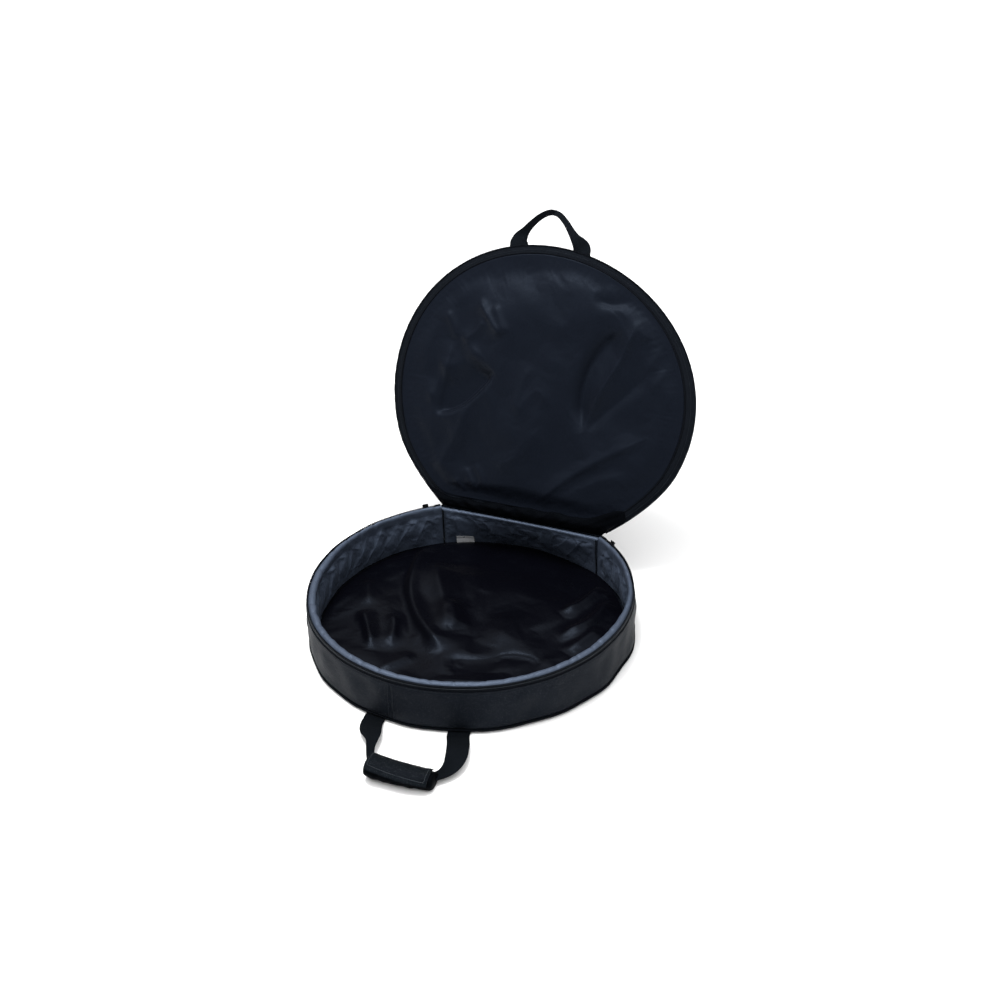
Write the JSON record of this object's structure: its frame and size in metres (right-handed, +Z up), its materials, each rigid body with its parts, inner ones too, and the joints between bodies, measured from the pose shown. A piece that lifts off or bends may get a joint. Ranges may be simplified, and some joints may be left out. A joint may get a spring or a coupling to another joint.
{
  "type": "handpan carrying bag",
  "caption": "Round padded soft bag for a handpan, unzipped with its lid standing open, a wrapped carry handle at the bottom edge and a strap loop on the lid.",
  "frame": {"origin": "centre of the flat bottom, on the surface the bag stands on", "axes": "+Z up, +Y toward the lid's hinge, -Y toward the side the carry handle is on, +X to the right seen from the handle"},
  "size_m": [0.6026, 0.9501, 0.6426],
  "materials": {
    "outer_fabric": "matte coated woven polyester",
    "foam": "closed-cell foam, hidden",
    "satin": "satin weave with a soft sheen",
    "grey_lining": "slate grey woven nylon",
    "binding": "matte woven polyester tape",
    "zip_tape": "knitted polyester zip tape",
    "zip_coil": "satin nylon monofilament",
    "webbing": "ribbed polyester webbing",
    "grip_fabric": "matte woven polyester",
    "hook_and_loop": "matte pile",
    "slider_metal": "satin black",
    "label": "matte woven tape"
  },
  "bodies": {
    "base": {"base_bottom_panel": "outer_fabric", "base_bottom_foam": "foam", "base_floor_lining": "satin", "bottom_piping": "binding", "wall_panel_left": "outer_fabric", "wall_panel_right": "outer_fabric", "wall_foam_left": "foam", "wall_foam_right": "foam", "wall_lining": "grey_lining", "hinge_panel_outer": "outer_fabric", "hinge_panel_foam": "foam", "hinge_panel_lining": "grey_lining", "hinge_strip_base": "binding", "zip_tape_base": "zip_tape", "zip_coil_base": "zip_coil", "zip_end_tab_right": "binding", "zip_end_tab_left": "binding", "handle_tail_left": "webbing", "handle_tail_right": "webbing", "sewn_label": "label"},
    "lid": {"lid_outer_panel": "outer_fabric", "lid_foam": "foam", "lid_lining": "satin", "lid_binding": "binding", "zip_tape_lid": "zip_tape", "zip_coil_lid": "zip_coil", "hinge_strip_lid": "binding", "lid_loop_tail_left": "webbing", "lid_loop_tail_right": "webbing"},
    "lid_pull_loop": {"lid_loop": "webbing"},
    "handle": {"handle_webbing": "webbing", "grip_pad": "foam", "grip_wrap": "grip_fabric", "grip_loop_strip": "hook_and_loop"},
    "flap": {"grip_flap": "grip_fabric", "grip_hook_strip": "hook_and_loop"},
    "slider_body_left": {"slider_left": "slider_metal"},
    "slider_body_right": {"slider_right": "slider_metal"},
    "pull_left": {"pull_tab_left": "slider_metal"},
    "pull_right": {"pull_tab_right": "slider_metal"}
  },
  "joints": [
    {"name": "lid_hinge", "type": "hinge", "parent": "base", "child": "lid", "pos_m": [0, 0.245, 0.095], "axis": [-1, 0, 0], "range_deg": [-114.4, 70.6]},
    {"name": "loop_flex", "type": "hinge", "parent": "lid", "child": "lid_pull_loop", "pos_m": [0, 0.47556, 0.59018], "axis": [-1, 0, 0], "range_deg": [-60, 60], "stiffness_Nm_per_rad": 0.02},
    {"name": "handle_swing", "type": "hinge", "parent": "base", "child": "handle", "pos_m": [0.0252, -0.30014, 0.0021], "axis": [-0.9965, -0.0837, 0], "range_deg": [-75, 55]},
    {"name": "flap_open", "type": "hinge", "parent": "handle", "child": "flap", "pos_m": [0.05708, -0.4049, 0.01659], "axis": [-0.9965, -0.0837, 0], "range_deg": [0, 105]},
    {"name": "slider_left_run", "type": "hinge", "parent": "base", "child": "slider_body_left", "pos_m": [0, 0, 0], "axis": [0, 0, 1], "range_deg": [0, 133.6]},
    {"name": "slider_right_run", "type": "hinge", "parent": "base", "child": "slider_body_right", "pos_m": [0, 0, 0], "axis": [0, 0, -1], "range_deg": [0, 133.6]},
    {"name": "pull_left_swing", "type": "hinge", "parent": "slider_body_left", "child": "pull_left", "pos_m": [-0.20064, 0.22758, 0.0946], "axis": [0.7501, 0.6613, 0], "range_deg": [-3, 165]},
    {"name": "pull_right_swing", "type": "hinge", "parent": "slider_body_right", "child": "pull_right", "pos_m": [0.20064, 0.22758, 0.0946], "axis": [0.7501, -0.6613, 0], "range_deg": [-3, 165]}
  ]
}
